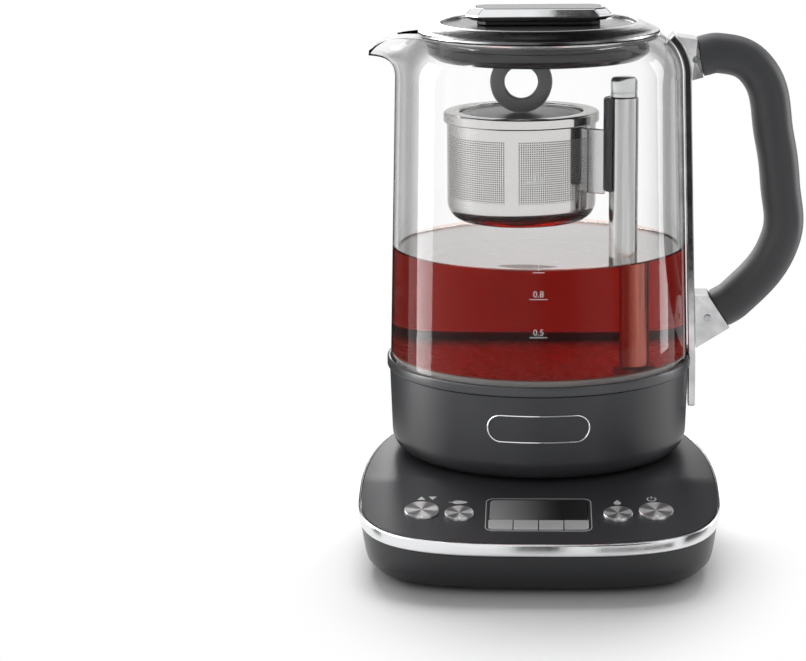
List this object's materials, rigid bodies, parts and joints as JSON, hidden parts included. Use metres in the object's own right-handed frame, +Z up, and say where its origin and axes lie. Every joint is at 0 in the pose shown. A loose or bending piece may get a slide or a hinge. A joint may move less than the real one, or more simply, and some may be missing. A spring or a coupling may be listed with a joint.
{
  "type": "automatic tea maker",
  "caption": "Electric tea maker: a glass jug with a lid, a side handle and a brewing basket that a post raises and lowers, on a power base with buttons and a display.",
  "frame": {"origin": "middle of the bounding box in plan, on the plane that the feet stand on", "axes": "+Z up, -Y towards the front panel with the buttons, +X towards the handle"},
  "size_m": [0.2126, 0.2122, 0.2553],
  "materials": {
    "graphite_plastic": "satin dark slate grey",
    "light_graphite": "satin grey, a little lighter than the housing",
    "soft_grip": "soft-touch dark grey",
    "ring_plastic": "satin grey",
    "chrome_trim": "polished",
    "brushed_steel": "brushed",
    "spun_aluminium": "spun, bright silver",
    "black_plastic": "glossy black",
    "silicone": "matte grey silicone",
    "rubber": "matte black",
    "clear_glass": "clear",
    "circuit_board": "green solder mask",
    "brass": "turned"
  },
  "bodies": {
    "base": {"base_lower_shell": "graphite_plastic", "base_top_plate": "graphite_plastic", "chrome_trim_band": "chrome_trim", "display_window": "black_plastic", "display_module": "black_plastic", "control_board": "circuit_board", "power_board": "circuit_board", "base_connector": "black_plastic", "cord_gland": "black_plastic", "base_screw_left": "brushed_steel", "base_screw_right": "brushed_steel", "foot_front_left": "rubber", "foot_front_right": "rubber", "foot_rear_left": "rubber", "foot_rear_right": "rubber"},
    "jug_socket": {"jug_connector": "black_plastic"},
    "jug": {"jug_housing": "graphite_plastic", "jug_bottom_cover": "graphite_plastic", "jug_bottom_screw_1": "brushed_steel", "jug_bottom_screw_2": "brushed_steel", "jug_bottom_screw_3": "brushed_steel", "housing_rim_ring": "light_graphite", "heating_plate": "brushed_steel", "glass_seal": "silicone", "heating_element": "brushed_steel", "temperature_sensor": "black_plastic", "glass_body": "clear_glass", "handle_strap": "chrome_trim", "upper_bracket": "chrome_trim", "upper_bracket_pin": "brushed_steel", "lower_bracket": "chrome_trim", "lower_bracket_pin": "brushed_steel", "handle_grip": "soft_grip", "badge_ring": "chrome_trim", "lift_post": "brushed_steel", "lift_post_cap": "chrome_trim", "motor_sleeve": "black_plastic", "lift_motor": "brushed_steel"},
    "lid": {"lid_ring": "chrome_trim", "lid_disc": "black_plastic", "lid_plug": "black_plastic", "lid_gasket": "silicone", "knob_neck": "black_plastic", "lid_knob": "chrome_trim", "knob_inlay": "black_plastic"},
    "basket": {"basket_cup": "brushed_steel", "basket_web": "brushed_steel", "basket_slider": "black_plastic"},
    "basket_cover": {"basket_lid": "black_plastic", "basket_lid_ring": "ring_plastic"},
    "carriage": {"magnet_carriage": "brass"},
    "drive_screw": {"lead_screw": "brushed_steel"},
    "button_lift": {"button_lift": "spun_aluminium"},
    "button_tea": {"button_tea": "spun_aluminium"},
    "button_water": {"button_water": "spun_aluminium"},
    "button_power": {"button_power": "spun_aluminium"},
    "panel_key_1": {"panel_key_1": "spun_aluminium"},
    "panel_key_2": {"panel_key_2": "spun_aluminium"},
    "panel_key_3": {"panel_key_3": "spun_aluminium"},
    "panel_key_4": {"panel_key_4": "spun_aluminium"}
  },
  "joints": [
    {"name": "jug_lift", "type": "slide", "parent": "base", "child": "jug_socket", "axis": [0, 0, 1], "range_m": [0, 0.05]},
    {"name": "jug_turn", "type": "hinge", "parent": "jug_socket", "child": "jug", "pos_m": [-0.0221, 0.0249, 0.0383], "axis": [0, 0, 1], "continuous": true},
    {"name": "lid_lift", "type": "slide", "parent": "jug", "child": "lid", "axis": [0, 0, 1], "range_m": [0, 0.05]},
    {"name": "basket_lift", "type": "slide", "parent": "jug", "child": "basket", "axis": [0, 0, 1], "range_m": [-0.066, 0]},
    {"name": "basket_cover_lift", "type": "slide", "parent": "basket", "child": "basket_cover", "axis": [0, 0, 1], "range_m": [0, 0.008]},
    {"name": "carriage_slide", "type": "slide", "parent": "jug", "child": "carriage", "axis": [0, 0, 1], "range_m": [-0.066, 0]},
    {"name": "drive_screw_turn", "type": "hinge", "parent": "jug", "child": "drive_screw", "pos_m": [0.0179, -0.0021, 0.07], "axis": [0, 0, 1], "range_deg": [-1980.1, 0]},
    {"name": "button_lift_press", "type": "slide", "parent": "base", "child": "button_lift", "axis": [0, 0.1736, -0.9848], "range_m": [0, 0.0008], "stiffness_N_per_m": 800, "springref_m": -0.0006},
    {"name": "button_tea_press", "type": "slide", "parent": "base", "child": "button_tea", "axis": [0, 0.1736, -0.9848], "range_m": [0, 0.0008], "stiffness_N_per_m": 800, "springref_m": -0.0006},
    {"name": "button_water_press", "type": "slide", "parent": "base", "child": "button_water", "axis": [0, 0.1736, -0.9848], "range_m": [0, 0.0008], "stiffness_N_per_m": 800, "springref_m": -0.0006},
    {"name": "button_power_press", "type": "slide", "parent": "base", "child": "button_power", "axis": [0, 0.1736, -0.9848], "range_m": [0, 0.0008], "stiffness_N_per_m": 800, "springref_m": -0.0006},
    {"name": "panel_key_1_press", "type": "slide", "parent": "base", "child": "panel_key_1", "axis": [0, 0.1736, -0.9848], "range_m": [0, 0.0008], "stiffness_N_per_m": 800, "springref_m": -0.0006},
    {"name": "panel_key_2_press", "type": "slide", "parent": "base", "child": "panel_key_2", "axis": [0, 0.1736, -0.9848], "range_m": [0, 0.0008], "stiffness_N_per_m": 800, "springref_m": -0.0006},
    {"name": "panel_key_3_press", "type": "slide", "parent": "base", "child": "panel_key_3", "axis": [0, 0.1736, -0.9848], "range_m": [0, 0.0008], "stiffness_N_per_m": 800, "springref_m": -0.0006},
    {"name": "panel_key_4_press", "type": "slide", "parent": "base", "child": "panel_key_4", "axis": [0, 0.1736, -0.9848], "range_m": [0, 0.0008], "stiffness_N_per_m": 800, "springref_m": -0.0006}
  ],
  "couplings": [
    {"joint": "carriage_slide", "follows": "basket_lift", "ratio": 1},
    {"joint": "drive_screw_turn", "follows": "basket_lift", "rad_per_m": 523.6}
  ]
}
